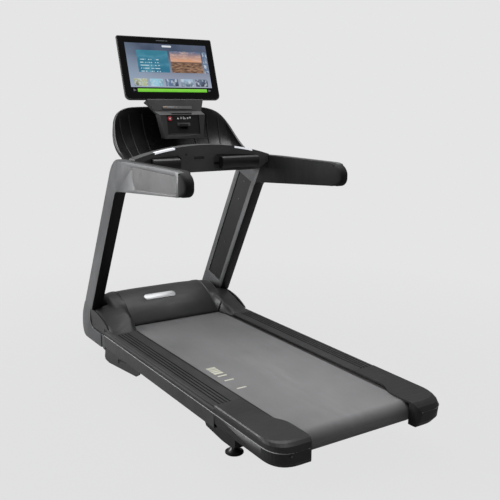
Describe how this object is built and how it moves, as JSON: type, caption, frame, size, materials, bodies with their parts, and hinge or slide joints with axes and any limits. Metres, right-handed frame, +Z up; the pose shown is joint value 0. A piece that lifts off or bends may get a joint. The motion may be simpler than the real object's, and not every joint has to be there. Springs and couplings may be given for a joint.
{
  "type": "treadmill",
  "caption": "Motorised treadmill with a cushioned running deck, swept uprights that turn into handlebars, a sensor crossbar, a tray console and a tilted display.",
  "frame": {"origin": "centre of the bounding box footprint, on the floor", "axes": "+Y forwards (the way the runner faces), +X to the runner's right, +Z up"},
  "size_m": [0.866, 2.074, 1.7502],
  "materials": {
    "frame_paint": "satin black powder coat",
    "deck_wood": "waxed phenolic-faced board",
    "black_rubber": "matt moulded rubber",
    "belt_surface": "textured matt belt cover",
    "bright_steel": "turned and ground steel",
    "sensor_steel": "brushed stainless strip",
    "flywheel_iron": "machined cast iron",
    "rail_plastic": "fine-textured moulding",
    "trim_plastic": "fine-textured moulding",
    "tray_plastic": "smooth satin moulding",
    "shell_paint": "metallic grey paint on cast and extruded aluminium",
    "motor_paint": "black enamel",
    "control_aluminium": "cast and finned",
    "display_plastic": "gloss black moulding",
    "display_glass": "opaque-backed cover glass",
    "badge_plastic": "plain light pill",
    "red_plastic": "moulded red",
    "foot_paint": "gloss black foot on a steel stud",
    "wheel_plastic": "hard wheel plastic"
  },
  "bodies": {
    "treadmill": {"left_side_beam": "frame_paint", "right_side_beam": "frame_paint", "cross_members": "frame_paint", "deck_board": "deck_wood", "deck_cushions": "black_rubber", "running_belt": "belt_surface", "roller_axles": "bright_steel", "roller_bearings": "bright_steel", "axle_bolts": "bright_steel", "left_foot_rail": "rail_plastic", "right_foot_rail": "rail_plastic", "left_side_panel": "rail_plastic", "right_side_panel": "rail_plastic", "left_end_cap": "trim_plastic", "right_end_cap": "trim_plastic", "foot_brackets": "frame_paint", "lift_brackets": "frame_paint", "drive_motor": "motor_paint", "drive_belt": "black_rubber", "control_box": "control_aluminium", "belly_pan": "trim_plastic", "motor_hood": "trim_plastic", "hood_badge": "badge_plastic", "left_elbow": "shell_paint", "right_elbow": "shell_paint", "left_upright": "shell_paint", "right_upright": "shell_paint", "left_upright_cover": "tray_plastic", "right_upright_cover": "tray_plastic", "left_grip": "black_rubber", "right_grip": "black_rubber", "grip_inlays": "shell_paint", "crossbar": "trim_plastic", "pulse_sensors": "sensor_steel", "console_tray": "tray_plastic", "bottle_cups": "trim_plastic", "console_neck": "trim_plastic", "keypad_panel": "tray_plastic", "safety_key_socket": "tray_plastic", "display_housing": "display_plastic", "display_glass": "display_glass", "power_inlet": "trim_plastic", "cover_screws": "bright_steel", "side_plates": "trim_plastic", "lift_motor": "motor_paint"},
    "lift_frame": {"lift_frame": "frame_paint"},
    "left_lift_wheel": {"left_lift_wheel": "wheel_plastic"},
    "right_lift_wheel": {"right_lift_wheel": "wheel_plastic"},
    "lift_screw": {"lift_screw": "bright_steel"},
    "front_roller": {"front_roller": "bright_steel"},
    "rear_roller": {"rear_roller": "bright_steel"},
    "motor_rotor": {"motor_shaft": "bright_steel", "motor_pulley": "bright_steel", "motor_flywheel": "flywheel_iron"},
    "left_paddle": {"left_paddle": "trim_plastic"},
    "right_paddle": {"right_paddle": "trim_plastic"},
    "stop_button": {"stop_button": "red_plastic"},
    "power_switch": {"power_switch": "red_plastic"},
    "left_rear_foot": {"left_rear_foot": "foot_paint"},
    "right_rear_foot": {"right_rear_foot": "foot_paint"}
  },
  "joints": [
    {"name": "lift_pivot", "type": "hinge", "parent": "treadmill", "child": "lift_frame", "pos_m": [0, 0.423, 0.104], "axis": [-1, 0, 0], "range_deg": [0, 31.5]},
    {"name": "lift_screw_travel", "type": "slide", "parent": "treadmill", "child": "lift_screw", "axis": [0, -0.3486, -0.9373], "range_m": [0, 0.16098]},
    {"name": "left_lift_wheel_spin", "type": "hinge", "parent": "lift_frame", "child": "left_lift_wheel", "pos_m": [-0.262, 0.853, 0.038], "axis": [1, 0, 0], "continuous": true},
    {"name": "right_lift_wheel_spin", "type": "hinge", "parent": "lift_frame", "child": "right_lift_wheel", "pos_m": [0.262, 0.853, 0.038], "axis": [1, 0, 0], "continuous": true},
    {"name": "front_roller_spin", "type": "hinge", "parent": "treadmill", "child": "front_roller", "pos_m": [0, 0.628, 0.1883], "axis": [1, 0, 0], "continuous": true},
    {"name": "rear_roller_spin", "type": "hinge", "parent": "treadmill", "child": "rear_roller", "pos_m": [0, -0.932, 0.1883], "axis": [1, 0, 0], "continuous": true},
    {"name": "motor_spin", "type": "hinge", "parent": "treadmill", "child": "motor_rotor", "pos_m": [0, 0.813, 0.225], "axis": [1, 0, 0], "continuous": true},
    {"name": "left_paddle_rock", "type": "hinge", "parent": "treadmill", "child": "left_paddle", "pos_m": [-0.232, 0.229, 1.13], "axis": [1, 0, 0], "range_deg": [-10, 10], "stiffness_Nm_per_rad": 4},
    {"name": "right_paddle_rock", "type": "hinge", "parent": "treadmill", "child": "right_paddle", "pos_m": [0.18, 0.229, 1.13], "axis": [1, 0, 0], "range_deg": [-10, 10], "stiffness_Nm_per_rad": 4},
    {"name": "stop_button_press", "type": "slide", "parent": "treadmill", "child": "stop_button", "axis": [0, 0.9857, -0.1685], "range_m": [0, 0.003], "stiffness_N_per_m": 400},
    {"name": "power_switch_rock", "type": "hinge", "parent": "treadmill", "child": "power_switch", "pos_m": [-0.23, 1.025, 0.194], "axis": [1, 0, 0], "range_deg": [-6, 6]},
    {"name": "left_rear_foot_turn", "type": "hinge", "parent": "treadmill", "child": "left_rear_foot", "pos_m": [-0.316, -0.571, 0], "axis": [0, 0, 1], "continuous": true},
    {"name": "right_rear_foot_turn", "type": "hinge", "parent": "treadmill", "child": "right_rear_foot", "pos_m": [0.316, -0.571, 0], "axis": [0, 0, 1], "continuous": true}
  ],
  "couplings": [
    {"joint": "lift_screw_travel", "follows": "lift_pivot", "m_per_rad": 0.29226},
    {"joint": "rear_roller_spin", "follows": "front_roller_spin", "ratio": 1},
    {"joint": "motor_spin", "follows": "front_roller_spin", "ratio": 1.6584}
  ]
}
